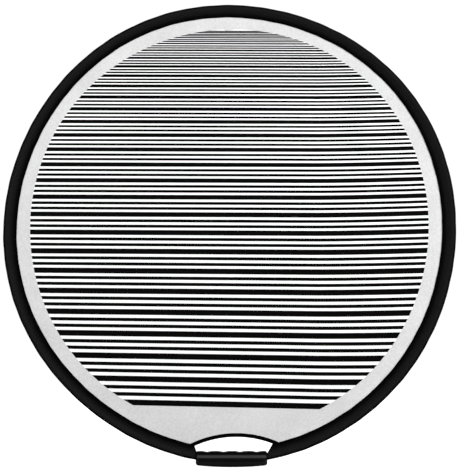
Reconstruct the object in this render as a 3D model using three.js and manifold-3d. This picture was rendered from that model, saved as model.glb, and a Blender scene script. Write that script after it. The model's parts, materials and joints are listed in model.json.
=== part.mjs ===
// Collapsible round line panel with a moulded grip.
//
// A spring-steel hoop keeps two discs of cloth taut. A black tape is folded over
// the steel and sewn to the cloth, and at the bottom the tape stops so that the
// bare steel can run through a grip made of two screwed shells.
//
// The panel stands upright in the plane y = 0, with the printed cloth facing -Y and
// the grip at the bottom. The origin is the lowest point of the grip, and the hoop's
// centre is straight above it. Every piece is drawn round the hoop's centre. Angles
// round the hoop are counted from the grip, positive towards +X, so -180 and +180
// degrees meet at the top.

import * as THREE from 'three';
import { mergeVertices } from 'three/addons/utils/BufferGeometryUtils.js';
import Module from 'manifold-3d';

const wasm = await Module();
wasm.setup();

const degrees = THREE.MathUtils.degToRad;

// ---- driving dimensions, millimetres and radians ----

const HOOP_RADIUS = 300; // outer edge of the tape, well away from the grip
const GRIP_BULGE = 6.2; // the grip draws the hoop out by this much
const GRIP_BULGE_SPREAD = degrees(30); // and the bulge dies away over this angle
const TAPE_WIDTH = 17.1; // radial width of the folded tape

const LINKS_PER_SIDE = 10; // the hoop folds in this many rigid links on each side
const ROOT_HALF_ANGLE = degrees(12); // half the part of the hoop fixed to the grip
const FOLD_GAP = 0.3; // between the ends of two neighbouring links

const CLOTH_THICKNESS = 0.4;
const CLOTH_GAP = 0.4; // between the two cloths
const CLOTH_TUCK = 8; // how far the cloth runs in under the tape
const CLOTH_EDGE_STEP = degrees(3); // straight pieces of the cloth's outline
const CLOTHS_HALF = CLOTH_GAP / 2 + CLOTH_THICKNESS; // half the thickness of both

const STEEL_THICKNESS = 0.9; // radial
const STEEL_WIDTH = 6; // across the panel
const STEEL_DEPTH = 13.8; // from the tape's inner edge out to the middle of the steel
const CLEARANCE = 0.3; // between pieces that touch on the real panel

const LAP_SHIFT = 4.2; // at the top the two ends lap, each moved this far in Y
const LAP_LENGTH = 160; // length of hoop over which an end moves back to the middle

const GRIP_LENGTH = 96.6;
const GRIP_CENTRE_X = 2.3;
const GRIP_OUTER_RADIUS = 312.3; // the outer edge is concentric with the hoop
const GRIP_INNER_Z = -292.4; // mean line of the finger side
const GRIP_THICKNESS = 20;
const GRIP_EDGE_ROUND = 5;
const FINGER_SPACING = 21.9;
const FINGER_DEPTH = 1.6; // from the ridge between two fingers to the valley
const FINGER_PHASE_X = 2.9; // one of the ridges stands here

const FERRULE_LENGTH = 24;
const FERRULE_WALL = 0.8;

const OPENING_CENTRE = new THREE.Vector2(7.5, -413.4); // x and z of the hand opening's arc
const OPENING_RADIUS = 140.6;
const OPENING_TRIM_WIDTH = 3.8;
const OPENING_TRIM_LEFT = degrees(23.2); // the trim's reach to each side of its top
const OPENING_TRIM_RIGHT = degrees(21);
const THIN_TAPE = 0.6;
const TAPE_END_LEFT = degrees(9.2); // the tape stops here, beside the grip
const TAPE_END_RIGHT = degrees(10.1);

const SCREW_OFFSET_X = 32; // to each side of the grip's middle
const SCREW_RADIUS_LINE = 308; // distance of the screws from the hoop's centre
const SCREW_HEAD_RADIUS = 2.3;
const SCREW_HEAD_HEIGHT = 1.8;
const SCREW_HEAD_SINK = 0.6; // below the back face of the grip
const SCREW_SHANK_RADIUS = 1.2;
const SCREW_LENGTH = 12;

// ---- materials ----

const paint = (color, roughness, metalness = 0) =>
  new THREE.MeshStandardMaterial({ color, roughness, metalness });

const SPRING_STEEL = paint(0x8f969c, 0.35, 1);
const FERRULE_STEEL = paint(0xb4b8bb, 0.3, 1);
const BLACK_TAPE = paint(0x17171a, 0.85);
const PRINTED_CLOTH = paint(0xf3f3f1, 0.8);
const LINING_CLOTH = paint(0xe9e9e6, 0.85);
const GRIP_PLASTIC = paint(0x1b1b1d, 0.55);
const SCREW_STEEL = paint(0x55585c, 0.4, 1);

const panel = new THREE.Group();
const hoopCentre = new THREE.Group();
hoopCentre.position.z = GRIP_OUTER_RADIUS;
panel.add(hoopCentre);

function add(name, geometry, material) {
  const mesh = new THREE.Mesh(geometry, material);
  mesh.name = name;
  hoopCentre.add(mesh);
}

// ---- joining and cutting ----

function toSolid(geometry) {
  const bare = geometry.clone();
  bare.deleteAttribute('normal');
  bare.deleteAttribute('uv');
  const merged = mergeVertices(bare, 1e-4);
  return new wasm.Manifold(new wasm.Mesh({
    numProp: 3,
    vertProperties: new Float32Array(merged.attributes.position.array),
    triVerts: new Uint32Array(merged.index.array),
  }));
}

function toGeometry(solid) {
  const mesh = solid.getMesh();
  const geometry = new THREE.BufferGeometry();
  geometry.setAttribute('position', new THREE.BufferAttribute(mesh.vertProperties, 3));
  geometry.setIndex(new THREE.BufferAttribute(mesh.triVerts, 1));
  geometry.computeVertexNormals();
  return geometry;
}

function boxAt(x, y, z, centreX, centreY, centreZ) {
  return new THREE.BoxGeometry(x, y, z).translate(centreX, centreY, centreZ);
}

// ---- the hoop's line ----

const smoothstep = (t) => t * t * (3 - 2 * t);

// Radius of the tape's inner edge.
function innerRadius(angle) {
  const bulge = GRIP_BULGE * Math.exp(-((angle / GRIP_BULGE_SPREAD) ** 2));
  return HOOP_RADIUS - TAPE_WIDTH + bulge;
}

// The left end passes in front of the right end at the top.
function lapShift(angle) {
  const fromEnd = (Math.PI - Math.abs(angle)) * HOOP_RADIUS;
  const share = THREE.MathUtils.clamp(fromEnd / LAP_LENGTH, 0, 1);
  return Math.sign(angle) * LAP_SHIFT * (1 - smoothstep(share));
}

// A point on the hoop: depth runs outwards from the tape's inner edge, side runs in Y.
function hoopPoint(angle, depth, side) {
  const radius = innerRadius(angle) + depth;
  const y = lapShift(angle) + side;
  return new THREE.Vector3(radius * Math.sin(angle), y, -radius * Math.cos(angle));
}

// Bends a straight extrusion one unit long: place() gets each vertex's share of the
// length and its two coordinates across, and returns where it goes.
function bend(shape, steps, place) {
  const geometry = new THREE.ExtrudeGeometry(shape, { depth: 1, steps, bevelEnabled: false });
  const position = geometry.attributes.position;
  for (let i = 0; i < position.count; i += 1) {
    const point = place(position.getZ(i), position.getX(i), position.getY(i));
    position.setXYZ(i, point.x, point.y, point.z);
  }
  geometry.computeVertexNormals();
  return geometry;
}

function sweepHoop(shape, from, to, steps = 6) {
  return bend(shape, steps, (share, depth, side) =>
    hoopPoint(from + share * (to - from), depth, side));
}

// ---- cross-sections; x is depth from the inner edge, y is across the panel ----

// The folded tape: out along the front, round the fold, back in, and the same way
// home inside. The steel lies in the fat part, the cloth between the two flat hems.
function tapeSection() {
  const outside = [[0, 1.5], [8, 1.5], [12, 3.9], [15.6, 3.9], [17.1, 2.1]];
  const inside = [[0, 0.9], [8.3, 0.9], [12.3, 3.3], [15.3, 3.3], [16.5, 1.9]];
  const front = (points) => points.map(([x, y]) => [x, -y]);
  const outline = [...front(outside), ...outside.reverse(), ...inside, ...front(inside).reverse()];
  return new THREE.Shape(outline.map(([x, y]) => new THREE.Vector2(x, y)));
}

function rectangle(centreX, width, height) {
  const shape = new THREE.Shape();
  shape.moveTo(centreX - width / 2, -height / 2);
  shape.lineTo(centreX + width / 2, -height / 2);
  shape.lineTo(centreX + width / 2, height / 2);
  shape.lineTo(centreX - width / 2, height / 2);
  shape.closePath();
  return shape;
}

const steelSection = (growth = 0) =>
  rectangle(STEEL_DEPTH, STEEL_THICKNESS + 2 * growth, STEEL_WIDTH + 2 * growth);

// ---- hoop links ----

// Links are numbered from the grip; side is -1 for the left and +1 for the right.
function addLink(side, number) {
  const step = (Math.PI - ROOT_HALF_ANGLE) / LINKS_PER_SIDE;
  const trim = FOLD_GAP / 2 / HOOP_RADIUS;
  const near = ROOT_HALF_ANGLE + (number - 1) * step + trim;
  const far = ROOT_HALF_ANGLE + number * step - trim;
  const [from, to] = side > 0 ? [near, far] : [-far, -near];
  const label = `${side > 0 ? 'right' : 'left'}_${String(number).padStart(2, '0')}`;
  add(`steel_${label}`, sweepHoop(steelSection(), from, to), SPRING_STEEL);
  add(`tape_${label}`, sweepHoop(tapeSection(), from, to), BLACK_TAPE);
}

// The steel's two ends meet in the ferrule; the tape stops at each end of the grip.
function addRootHoop() {
  const trim = FOLD_GAP / 2 / HOOP_RADIUS;
  const end = ROOT_HALF_ANGLE - trim;
  add('steel_grip_left', sweepHoop(steelSection(), -end, -trim), SPRING_STEEL);
  add('steel_grip_right', sweepHoop(steelSection(), trim, end), SPRING_STEEL);
  add('tape_grip_left', sweepHoop(tapeSection(), -end, -TAPE_END_LEFT, 2), BLACK_TAPE);
  add('tape_grip_right', sweepHoop(tapeSection(), TAPE_END_RIGHT, end, 2), BLACK_TAPE);
}

function addFerrule() {
  const tube = steelSection(CLEARANCE + FERRULE_WALL);
  tube.holes.push(steelSection(CLEARANCE));
  const half = FERRULE_LENGTH / 2 / HOOP_RADIUS;
  add('steel_ferrule', sweepHoop(tube, -half, half, 4), FERRULE_STEEL);
}

// ---- cloth ----

// The cloth runs in under the tape, except at the top, where the tape's ends lap.
function clothOutline() {
  const lapHalfAngle = LAP_LENGTH / HOOP_RADIUS;
  const count = Math.round((2 * Math.PI) / CLOTH_EDGE_STEP);
  const points = [];
  for (let i = 0; i < count; i += 1) {
    const angle = -Math.PI + i * CLOTH_EDGE_STEP;
    const lapped = Math.PI - Math.abs(angle) < lapHalfAngle + CLOTH_EDGE_STEP;
    const radius = innerRadius(angle) + (lapped ? -CLEARANCE : CLOTH_TUCK);
    points.push(new THREE.Vector2(radius * Math.sin(angle), -radius * Math.cos(angle)));
  }
  return new THREE.Shape(points);
}

// Extrudes an outline drawn in x and z, from frontY backwards.
function uprightPlate(shape, thickness, frontY, options = {}) {
  const geometry = new THREE.ExtrudeGeometry(shape, {
    depth: thickness, bevelEnabled: false, ...options,
  });
  return geometry.rotateX(Math.PI / 2).translate(0, frontY + thickness, 0);
}

// Everything below the arc is cut away, as far as the hoop, for the hand.
function addCloth(name, frontY, material) {
  const disc = toSolid(uprightPlate(clothOutline(), CLOTH_THICKNESS, frontY));
  const edgeRadius = OPENING_RADIUS + THIN_TAPE + CLEARANCE;
  const opening = new THREE.CylinderGeometry(edgeRadius, edgeRadius, 10, 90);
  opening.translate(OPENING_CENTRE.x, 0, OPENING_CENTRE.y);
  add(name, toGeometry(disc.subtract(toSolid(opening))), material);
}

// A narrow tape folded over both cloths along the top of the hand opening.
function addOpeningTrim() {
  const halfSlot = CLOTHS_HALF + CLEARANCE;
  const halfWidth = halfSlot + THIN_TAPE;
  const fold = new THREE.Shape();
  fold.moveTo(0, -halfWidth);
  fold.lineTo(OPENING_TRIM_WIDTH, -halfWidth);
  fold.lineTo(OPENING_TRIM_WIDTH, -halfSlot);
  fold.lineTo(THIN_TAPE, -halfSlot);
  fold.lineTo(THIN_TAPE, halfSlot);
  fold.lineTo(OPENING_TRIM_WIDTH, halfSlot);
  fold.lineTo(OPENING_TRIM_WIDTH, halfWidth);
  fold.lineTo(0, halfWidth);
  fold.closePath();
  const arc = bend(fold, 16, (share, outwards, side) => {
    const angle = OPENING_TRIM_RIGHT - share * (OPENING_TRIM_RIGHT + OPENING_TRIM_LEFT);
    const radius = OPENING_RADIUS + outwards;
    return new THREE.Vector3(
      OPENING_CENTRE.x + radius * Math.sin(angle),
      side,
      OPENING_CENTRE.y + radius * Math.cos(angle),
    );
  });
  add('opening_trim', arc, BLACK_TAPE);
}

// ---- grip ----

// Four shallow finger valleys on the inner side, a plain arc on the outer side.
function gripOutline() {
  const inset = GRIP_EDGE_ROUND; // the rounded edge adds this much all round
  const half = GRIP_LENGTH / 2 - inset;
  const left = GRIP_CENTRE_X - half;
  const right = GRIP_CENTRE_X + half;
  const outerZ = (x) => -Math.sqrt((GRIP_OUTER_RADIUS - inset) ** 2 - x * x);
  const innerZ = (x) => {
    const wave = Math.cos((2 * Math.PI * (x - FINGER_PHASE_X)) / FINGER_SPACING);
    return GRIP_INNER_Z - inset + (FINGER_DEPTH / 2) * wave;
  };
  const along = (count, height) => Array.from({ length: count + 1 }, (_, i) => {
    const x = left + (i / count) * (right - left);
    return new THREE.Vector2(x, height(x));
  });
  return new THREE.Shape([...along(14, outerZ), ...along(44, innerZ).reverse()]);
}

function screwAxis(side) {
  const x = GRIP_CENTRE_X + side * SCREW_OFFSET_X;
  return { x, z: -Math.sqrt(SCREW_RADIUS_LINE ** 2 - x * x) };
}

function cylinderAlongY(radius, fromY, toY, { x, z }) {
  const geometry = new THREE.CylinderGeometry(radius, radius, toY - fromY, 24);
  return geometry.translate(x, (fromY + toY) / 2, z);
}

const GRIP_BACK_Y = GRIP_THICKNESS / 2;
const SCREW_HEAD_TOP_Y = GRIP_BACK_Y - SCREW_HEAD_SINK;
const SCREW_HEAD_SEAT_Y = SCREW_HEAD_TOP_Y - SCREW_HEAD_HEIGHT;

// The whole grip, hollowed for the steel, the ferrule and the screws.
function gripSolid() {
  const body = uprightPlate(
    gripOutline(),
    GRIP_THICKNESS - 2 * GRIP_EDGE_ROUND,
    GRIP_EDGE_ROUND - GRIP_THICKNESS / 2,
    { bevelEnabled: true, bevelSize: GRIP_EDGE_ROUND, bevelThickness: GRIP_EDGE_ROUND,
      bevelSegments: 4 },
  );
  const ferruleHalf = (FERRULE_LENGTH / 2 + CLEARANCE) / HOOP_RADIUS;
  const cuts = [
    sweepHoop(steelSection(CLEARANCE), -ROOT_HALF_ANGLE, ROOT_HALF_ANGLE, 8),
    sweepHoop(steelSection(2 * CLEARANCE + FERRULE_WALL), -ferruleHalf, ferruleHalf, 4),
  ];
  for (const side of [-1, 1]) {
    const axis = screwAxis(side);
    const tipY = SCREW_HEAD_SEAT_Y - SCREW_LENGTH - CLEARANCE;
    const seatY = SCREW_HEAD_SEAT_Y - CLEARANCE;
    cuts.push(cylinderAlongY(SCREW_SHANK_RADIUS + CLEARANCE, tipY, seatY + 1, axis));
    cuts.push(cylinderAlongY(SCREW_HEAD_RADIUS + CLEARANCE, seatY, GRIP_BACK_Y + 1, axis));
  }
  return cuts.reduce((solid, cut) => solid.subtract(toSolid(cut)), toSolid(body));
}

// The two shells meet on the middle plane of the panel.
function addGripShells() {
  const solid = gripSolid();
  const size = 2 * GRIP_LENGTH;
  const partingGap = CLEARANCE / 2;
  for (const [name, side] of [['grip_shell_front', -1], ['grip_shell_back', 1]]) {
    const centreY = side * (size / 2 + partingGap);
    const half = boxAt(size, size, size, 0, centreY, -GRIP_OUTER_RADIUS);
    add(name, toGeometry(solid.intersect(toSolid(half))), GRIP_PLASTIC);
  }
}

// A pan-head screw with a cross recess, put in from the back.
function addScrew(name, side) {
  const profile = [
    [0, -SCREW_LENGTH], [SCREW_SHANK_RADIUS, -SCREW_LENGTH + 1], [SCREW_SHANK_RADIUS, 0],
    [SCREW_HEAD_RADIUS, 0], [SCREW_HEAD_RADIUS, 0.6 * SCREW_HEAD_HEIGHT],
    [0.7 * SCREW_HEAD_RADIUS, 0.95 * SCREW_HEAD_HEIGHT], [0, SCREW_HEAD_HEIGHT],
  ].map(([radius, height]) => new THREE.Vector2(radius, height));
  const recessDepth = 1.1;
  const recessWidth = 0.6;
  const recessSpan = 2.4;
  const recessY = SCREW_HEAD_HEIGHT - recessDepth / 2 + 0.05;
  const screw = toSolid(new THREE.LatheGeometry(profile, 24))
    .subtract(toSolid(boxAt(recessSpan, recessDepth, recessWidth, 0, recessY, 0)))
    .subtract(toSolid(boxAt(recessWidth, recessDepth, recessSpan, 0, recessY, 0)));
  const axis = screwAxis(side);
  const placed = toGeometry(screw).translate(axis.x, SCREW_HEAD_SEAT_Y, axis.z);
  add(name, placed, SCREW_STEEL);
}

addRootHoop();
addFerrule();
for (const side of [-1, 1]) {
  for (let number = 1; number <= LINKS_PER_SIDE; number += 1) {
    addLink(side, number);
  }
}
addCloth('cloth_front', -CLOTHS_HALF, PRINTED_CLOTH);
addCloth('cloth_back', CLOTH_GAP / 2, LINING_CLOTH);
addOpeningTrim();
addGripShells();
addScrew('screw_left', -1);
addScrew('screw_right', 1);

export default panel;
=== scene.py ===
import json
import math

import bmesh
import bpy
import numpy as np
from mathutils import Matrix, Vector
from mathutils.geometry import delaunay_2d_cdt


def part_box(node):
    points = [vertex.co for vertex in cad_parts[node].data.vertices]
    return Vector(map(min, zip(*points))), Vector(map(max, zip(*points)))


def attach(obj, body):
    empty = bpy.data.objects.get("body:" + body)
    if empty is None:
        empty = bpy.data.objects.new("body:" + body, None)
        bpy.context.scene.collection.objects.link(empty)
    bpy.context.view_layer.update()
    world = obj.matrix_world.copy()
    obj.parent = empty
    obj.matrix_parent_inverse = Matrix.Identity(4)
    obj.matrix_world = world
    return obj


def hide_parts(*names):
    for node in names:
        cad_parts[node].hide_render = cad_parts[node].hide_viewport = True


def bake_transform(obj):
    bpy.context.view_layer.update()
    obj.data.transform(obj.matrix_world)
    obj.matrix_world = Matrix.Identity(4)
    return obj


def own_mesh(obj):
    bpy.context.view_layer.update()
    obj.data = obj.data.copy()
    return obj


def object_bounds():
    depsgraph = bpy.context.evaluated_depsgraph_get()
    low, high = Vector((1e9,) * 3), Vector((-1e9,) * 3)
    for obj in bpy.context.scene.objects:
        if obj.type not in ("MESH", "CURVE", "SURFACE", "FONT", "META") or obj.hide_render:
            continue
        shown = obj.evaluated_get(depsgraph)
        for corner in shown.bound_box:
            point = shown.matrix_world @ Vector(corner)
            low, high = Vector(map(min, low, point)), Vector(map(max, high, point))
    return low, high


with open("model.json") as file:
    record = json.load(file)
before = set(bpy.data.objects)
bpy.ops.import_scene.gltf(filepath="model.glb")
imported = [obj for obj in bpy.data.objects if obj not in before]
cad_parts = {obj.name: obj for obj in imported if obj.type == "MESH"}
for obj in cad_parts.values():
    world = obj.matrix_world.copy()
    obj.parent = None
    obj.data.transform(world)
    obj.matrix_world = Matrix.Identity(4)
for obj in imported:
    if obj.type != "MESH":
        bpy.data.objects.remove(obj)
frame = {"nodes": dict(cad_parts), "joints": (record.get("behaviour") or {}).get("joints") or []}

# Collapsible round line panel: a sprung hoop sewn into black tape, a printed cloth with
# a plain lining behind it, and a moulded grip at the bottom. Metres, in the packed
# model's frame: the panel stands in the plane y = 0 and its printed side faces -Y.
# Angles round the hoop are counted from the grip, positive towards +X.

cad_low, cad_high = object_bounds()

MM = 0.001

# ---- the hoop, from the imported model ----


def polar(point):
    """Angle round the hoop and distance from its centre."""
    x, below = point[0], CENTRE_Z - point[2]
    return math.atan2(x, below), math.hypot(x, below)


HOOP_RADIUS = cad_high.x
CENTRE_Z = cad_high.z - HOOP_RADIUS
JOINTS = {joint["name"]: joint for joint in frame["joints"]}
LINKS_PER_SIDE = len(JOINTS) // 2
FOLD_ANGLES = sorted(polar(joint["pos_m"])[0] for joint in frame["joints"])
ROOT_HALF_ANGLE = polar(JOINTS["fold_right_01"]["pos_m"])[0]
LINK_ANGLE = (math.pi - ROOT_HALF_ANGLE) / LINKS_PER_SIDE
TAPE_WIDTH = HOOP_RADIUS - polar(JOINTS[f"fold_right_{LINKS_PER_SIDE:02d}"]["pos_m"])[1]
GRIP_BULGE = 6.2 * MM  # the grip draws the hoop out by this much
GRIP_BULGE_SPREAD = math.radians(30)

# The sprung hoop and the print aren't quite round. Each row is the number of waves in a
# turn, their height, and the angle where one peaks.
HOOP_OUT_OF_ROUND = (
    (1, 0.65 * MM, 110),
    (2, 0.37 * MM, -35),
    (3, 0.52 * MM, 27),
    (4, 0.91 * MM, 28),
    (5, 0.40 * MM, -15),
)

# ---- tape ----

HEM_HALF = 1.5 * MM  # half thickness where the tape is sewn over the cloth
HEM_WIDTH = 7.0 * MM
HEM_DEPTHS = np.array([0, 0.35, 1.4, 2.6, 3.8, 5.4]) * MM  # points of the hem's outline
TUBE_HALF = 3.9 * MM  # half thickness over the steel
TUBE_DEPTH = 13.6 * MM  # from the inner edge out to the steel
FLANK_END_GAP = 1.2 * MM  # the flank stops this far before the steel
EDGE_THINNING = 0.2 * MM  # taken off each side of an open edge
SKIN = 0.6 * MM
LEAST_HALF = 0.15 * MM  # half the gap left inside where a tape is flattest
LOOSE_WIDTH = 1.2 * MM  # the tape is this much wider than the steel needs,
LOOSE_GAIN = 1.5 * MM  # more so round the grip and less so at the top
LOOSEST = math.radians(15)
STITCH_PITCH = 3.5 * MM
STITCH_LENGTH = 2.5 * MM
STITCH_ROW = 2.6 * MM  # from the open edge of a tape
THREAD_RADIUS = 0.24 * MM
STITCH_SINK = 0.1 * MM  # how far a stitch's ends sink into the tape
# Along a stitch: the share of its length from its middle, and of the thread's radius there.
STITCH_ROUND = ((-0.5, 0.25), (-0.42, 0.9), (0, 1), (0.42, 0.9), (0.5, 0.25))
STITCH_PULL = 0.2  # share of the tape's thickness that a stitch takes away
STITCH_PULL_WIDTH = 1.8 * MM
TAPE_SLACK = 0.05  # share of the tape's thickness
EDGE_WANDER = 0.25 * MM
STATIONS_PER_STITCH = 3
LEAST_STATIONS = 8
TAPE_END_LEFT = math.radians(9.5)  # at the inner edge; the ends are cut aslant
TAPE_END_RIGHT = math.radians(11.4)
TAPE_SLANT_LEFT = math.radians(2.0)  # how much nearer the grip the outer edge ends
TAPE_SLANT_RIGHT = math.radians(3.3)

STEEL_WIDTH = 6.0 * MM
STEEL_THICKNESS = 0.9 * MM
STEEL_DEPTH = 13.8 * MM
STEEL_SQUARENESS = 0.3  # 1 is an oval, 0 a sharp rectangle
STEEL_STEP = 5 * MM

# The first lengths beside the grip, as shares of the root's half angle.
ROOT_BEND_START = 0.4
ROOT_STEEL_START = 0.6

# ---- cloth and print; heights and centres are taken from the hoop's centre ----

CLOTH_THICKNESS = 0.4 * MM
CLOTH_TUCK = 8 * MM
FRONT_CLOTH_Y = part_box("cloth_front")[0].y
BACK_CLOTH_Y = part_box("cloth_back")[0].y
CLOTH_STEP = 8 * MM  # between neighbouring points of the sheet
MARGIN_DEPTHS = (-16, -12, -8, -5, -2, 1)  # mm from the tape's inner edge
MARGIN_STEP = math.radians(0.75)
PRINT_CLEARANCE = 1.5 * MM  # loose points keep this far from the print
FOOT_HALF_WIDTH = 150 * MM  # of the rows of points below the print
FOOT_CLEARANCE = 14 * MM  # and how far they keep from the tape
WAVE_LENGTHS = (330 * MM, 210 * MM, 140 * MM)
WAVE_HEIGHT = 0.0014  # share of its length
WAVE_FADE = 60 * MM  # the waves die away over this distance from the tape
PUCKER_HEIGHT = 0.28 * MM
PUCKER_DEPTH = 5 * MM
PUCKER_SPREAD = 9 * MM
PRINT_RADIUS = 265.4 * MM
PRINT_OUT_OF_ROUND = (
    (1, 2.23 * MM, 174),
    (2, 1.11 * MM, -23),
    (3, 0.95 * MM, 17),
    (4, 0.54 * MM, 43),
)
FIRST_BAR_HEIGHT = 262.8 * MM
FIRST_PITCH = 6.66 * MM
PITCH_GROWTH = 1.177 * MM  # each pitch is this much wider than the one above,
GROWTH_LOSS = 0.0118 * MM  # by a little less each time
BAR_COUNT = 26
# Pitch and the width of a bar there, both in mm.
THICK_BAR_WIDTHS = ((6.7, 1.8), (9.0, 2.1), (12.4, 3.6), (22.5, 5.9), (26.4, 7.3), (31.0, 8.0),
                    (36.0, 7.1))
THIN_BAR_WIDTHS = ((6.7, 1.65), (12.4, 2.35), (18.0, 2.8), (24.0, 3.95), (36.0, 5.6))
THIN_BAR_PLACES = (0.3505, 0.6495)  # shares of a pitch
# The bars run down to the right, more so low down, and their right ends turn up.
BAR_SLOPE = 0.003
BAR_SLOPE_GAIN = 0.018  # at the full reach below the start
BAR_SLOPE_START = 107 * MM
BAR_SLOPE_REACH = 331 * MM
BAR_LIFT = 3.0 * MM  # at the full reach beyond the start
BAR_LIFT_START = 112 * MM
BAR_LIFT_REACH = 134 * MM
BAR_LIFT_POWER = 1.5
SLOPE_FADE = 18 * MM  # the slope dies away over this
EDGE_TOLERANCE = 1e-9
HALVINGS = 60  # of a span, to find a length in it

OPENING_CENTRE = Vector((8.7, -406.6)) * MM
OPENING_RADIUS = 133.8 * MM
TRIM_WIDTH = 5.1 * MM
TRIM_HALF = 1.3 * MM
TRIM_PULL = 0.12  # share of the trim's thickness that a stitch takes away
TRIM_LEFT = math.radians(26.5)
TRIM_RIGHT = math.radians(24.5)

# ---- grip ----

GRIP_LOW, GRIP_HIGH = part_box("grip_shell_front")
GRIP_HALF = -GRIP_LOW.y
FINGER_SPACING = 21.9 * MM
FINGER_DEPTH = 1.0 * MM
FINGER_PHASE_X = 2.4 * MM
FINGER_HEIGHT = 20.8 * MM
GRIP_END_ROUND = 3.2 * MM
GRIP_END_GAP = 0.9 * MM  # the moulding stops this far inside its outer size
GRIP_FOOT_RADIUS = 470 * MM
GRIP_BORDER = 4.2 * MM  # width of the frame round the hollow front face
GRIP_BORDER_EDGE = 1.3 * MM  # over which the frame falls to the hollow
GRIP_STEP = 0.8 * MM  # between neighbouring sections
RIDGE_HALF = 6.2 * MM  # half thickness of the finger ridge
RIDGE_FOOT = 16.6 * MM  # height where the ridge meets the bevel
BEVEL_FOOT = 13.0 * MM
HOLLOW_TOP = 8.4 * MM
HOLLOW_FOOT = 4.8 * MM
SHELL_GAP = 0.15 * MM  # from each shell to the middle plane
LIP = 1.0 * MM  # inside each shell's edge

BORE_CLEARANCE = 0.35 * MM
SCREW_HEAD_HEIGHT = 1.8 * MM
SCREW_SLOT_TURNS = (20, 110)  # degrees
SCREW_SLOT_REACH = 0.62  # share of the head's radius
SCREW_SLOT_HALF_WIDTH = 0.3 * MM
SCREW_SLOT_DEPTH = 0.9 * MM
DISC_SEGMENTS = 32
FILLET_STEPS = 5

# ---- studio, in metres and watts ----

AMBIENT = 0.275
BACKDROP = 1.02
FLOOR_REACH = 6.0
FLOOR_LEVEL = -0.3 * MM
FLOOR_GREY = 0.35
FLOOR_GLOW = 0.93  # seen by the camera only
LIGHT_TARGET = (0, 0, 0.35)
LIGHTS = (
    ("right_softbox", (1.3, -0.9, 0.9), 0.9, 34.6),
    ("left_softbox", (-0.9, -0.9, 0.7), 0.9, 11.2),
    ("back_softbox", (-0.5, 1.7, 0.9), 1.0, 28),
)
CAMERA_DISTANCE = 4.0
CAMERA_MARGIN = 1.0115  # width seen over the hoop's
CAMERA_X = -1.0 * MM
CAMERA_BELOW_CENTRE = 4.5 * MM


# ---- small helpers ----


def smoothstep(t):
    t = np.clip(t, 0, 1)
    return t * t * (3 - 2 * t)


def out_of_round(angle, rows):
    """How far a nearly round outline stands outside its circle."""
    return sum(height * np.cos(waves * (angle - math.radians(peak)))
               for waves, height, peak in rows)


def hoop_waves(angle, frequencies, seed):
    """A smooth irregular wave round the hoop, within -1 to 1, that meets itself at the top."""
    phases = np.random.default_rng(seed).uniform(0, 2 * np.pi, len(frequencies))
    return sum(np.sin(n * angle + p) for n, p in zip(frequencies, phases)) / len(frequencies)


class Shape:
    """Points, faces, materials and tape coordinates, gathered before they become one mesh."""

    def __init__(self):
        self.points, self.faces, self.slots, self.smooth, self.uvs = [], [], [], [], []
        self.count = 0

    def add(self, points, faces, slot=0, uvs=None):
        """Adds points and faces. Faces with more than four corners close an end and stay flat."""
        points = np.asarray(points, float).reshape(-1, 3)
        if uvs is None:
            uvs = points[:, [0, 2]]
        self.points.append(points)
        self.uvs.append(np.asarray(uvs, float).reshape(-1, 2))
        self.faces += [[index + self.count for index in face] for face in faces]
        self.slots += [slot] * len(faces)
        self.smooth += [len(face) <= 4 for face in faces]
        self.count += len(points)

    def build(self, name, materials, recalculate=True):
        mesh = bpy.data.meshes.new(name)
        mesh.from_pydata(np.concatenate(self.points).tolist(), [], self.faces)
        for material in materials:
            mesh.materials.append(material)
        mesh.polygons.foreach_set("material_index", self.slots)
        mesh.polygons.foreach_set("use_smooth", self.smooth)
        corner = np.empty(len(mesh.loops), int)
        mesh.loops.foreach_get("vertex_index", corner)
        layer = mesh.uv_layers.new(name="along_across")
        layer.data.foreach_set("uv", np.concatenate(self.uvs)[corner].ravel())
        if recalculate:
            edit = bmesh.new()
            edit.from_mesh(mesh)
            bmesh.ops.recalc_face_normals(edit, faces=edit.faces)
            edit.to_mesh(mesh)
            edit.free()
        mesh.update()
        obj = bpy.data.objects.new(name, mesh)
        bpy.context.scene.collection.objects.link(obj)
        return obj


def loft_faces(rings, points):
    """Faces of a closed tube through rings of points, with a face over each end."""
    faces = []
    for r in range(rings - 1):
        for p in range(points):
            q = (p + 1) % points
            faces.append([r * points + p, r * points + q,
                          (r + 1) * points + q, (r + 1) * points + p])
    faces.append(list(range(points))[::-1])
    faces.append([(rings - 1) * points + p for p in range(points)])
    return faces


# ---- the hoop's line ----


def inner_radius(angle):
    """Radius of the tape's inner edge."""
    bulge = GRIP_BULGE * np.exp(-((angle / GRIP_BULGE_SPREAD) ** 2))
    return HOOP_RADIUS - TAPE_WIDTH + bulge + out_of_round(angle, HOOP_OUT_OF_ROUND)


def hoop_point(angle, depth, side):
    """Depth runs outwards from the tape's inner edge and side runs in Y."""
    radius = inner_radius(angle) + depth
    x, y, z = np.broadcast_arrays(radius * np.sin(angle), side, CENTRE_Z - radius * np.cos(angle))
    return np.stack([x, y, z], axis=-1)


def link_name(side, number):
    """Body of a link: number 0 is the grip, and side is -1 for left and +1 for right."""
    return f"link_{'right' if side > 0 else 'left'}_{number:02d}" if number else "grip"


def middle_angle(number):
    """Angle of the middle of a link, on the right side."""
    return ROOT_HALF_ANGLE + (number - 0.5) * LINK_ANGLE


# ---- materials ----


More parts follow.
